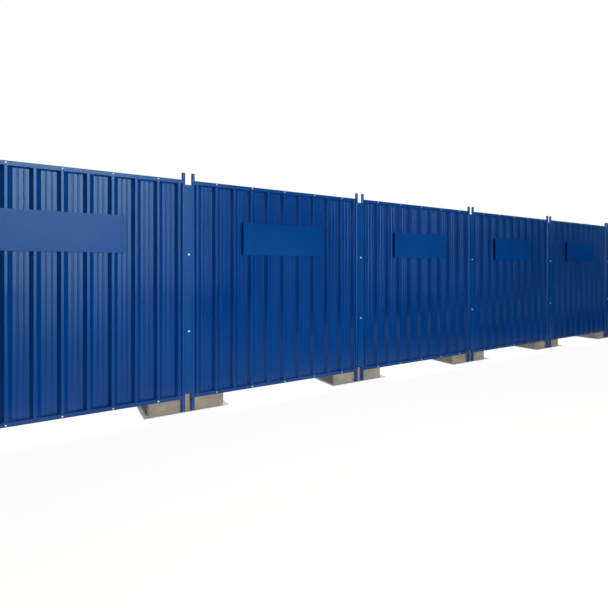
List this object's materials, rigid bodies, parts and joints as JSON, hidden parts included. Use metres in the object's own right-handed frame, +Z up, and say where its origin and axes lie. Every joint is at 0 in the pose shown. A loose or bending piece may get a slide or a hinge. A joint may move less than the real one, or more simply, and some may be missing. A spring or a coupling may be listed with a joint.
{
  "type": "steel hoarding fence",
  "caption": "Run of mobile steel hoarding: profiled-sheet panels with edge rails between round posts, bolted cover strips, on base plates with concrete ballast.",
  "frame": {"origin": "on the ground, on the underside of the middle joint's base plate, in the plane of the posts, between the two posts of that joint", "axes": "+X along the fence, +Y from the face of the fence to the ballast behind it, +Z up"},
  "size_m": [12.78, 0.7628, 2.187],
  "materials": {
    "blue_coated_sheet": "smooth blue coating with a soft sheen",
    "blue_coated_rail": "smooth blue coating with a soft sheen",
    "blue_coated_tube": "blue powder coat, slightly darker than the sheet",
    "blue_coated_strip": "smooth blue coating with a soft sheen",
    "sign_plate": "plain blue enamelled plate, satin, left bare",
    "galvanised_plate": "hot-dip galvanised, dull spangle",
    "concrete": "cast concrete, fine pores, beige grey",
    "zinc_fastener": "bright zinc-plated screws, bolts and washers",
    "black_plastic": "moulded post caps"
  },
  "bodies": {
    "root": {"posts_left_end": "blue_coated_tube", "posts_joint_1": "blue_coated_tube", "posts_joint_2": "blue_coated_tube", "posts_joint_3": "blue_coated_tube", "posts_joint_4": "blue_coated_tube", "posts_joint_5": "blue_coated_tube", "posts_right_end": "blue_coated_tube", "top_rail_1": "blue_coated_rail", "top_rail_2": "blue_coated_rail", "top_rail_3": "blue_coated_rail", "top_rail_4": "blue_coated_rail", "top_rail_5": "blue_coated_rail", "top_rail_6": "blue_coated_rail", "bottom_rail_1": "blue_coated_rail", "bottom_rail_2": "blue_coated_rail", "bottom_rail_3": "blue_coated_rail", "bottom_rail_4": "blue_coated_rail", "bottom_rail_5": "blue_coated_rail", "bottom_rail_6": "blue_coated_rail", "profiled_sheet_1": "blue_coated_sheet", "profiled_sheet_2": "blue_coated_sheet", "profiled_sheet_3": "blue_coated_sheet", "profiled_sheet_4": "blue_coated_sheet", "profiled_sheet_5": "blue_coated_sheet", "profiled_sheet_6": "blue_coated_sheet", "sign_plates": "sign_plate", "cover_strip_1": "blue_coated_strip", "cover_strip_2": "blue_coated_strip", "cover_strip_3": "blue_coated_strip", "cover_strip_4": "blue_coated_strip", "cover_strip_5": "blue_coated_strip", "base_plate_left_end": "galvanised_plate", "base_plate_joint_1": "galvanised_plate", "base_plate_joint_2": "galvanised_plate", "base_plate_joint_3": "galvanised_plate", "base_plate_joint_4": "galvanised_plate", "base_plate_joint_5": "galvanised_plate", "base_plate_right_end": "galvanised_plate", "ballast_block_left_end": "concrete", "ballast_block_joint_1": "concrete", "ballast_block_joint_2": "concrete", "ballast_block_joint_3": "concrete", "ballast_block_joint_4": "concrete", "ballast_block_joint_5": "concrete", "ballast_block_right_end": "concrete"}
  },
  "joints": []
}
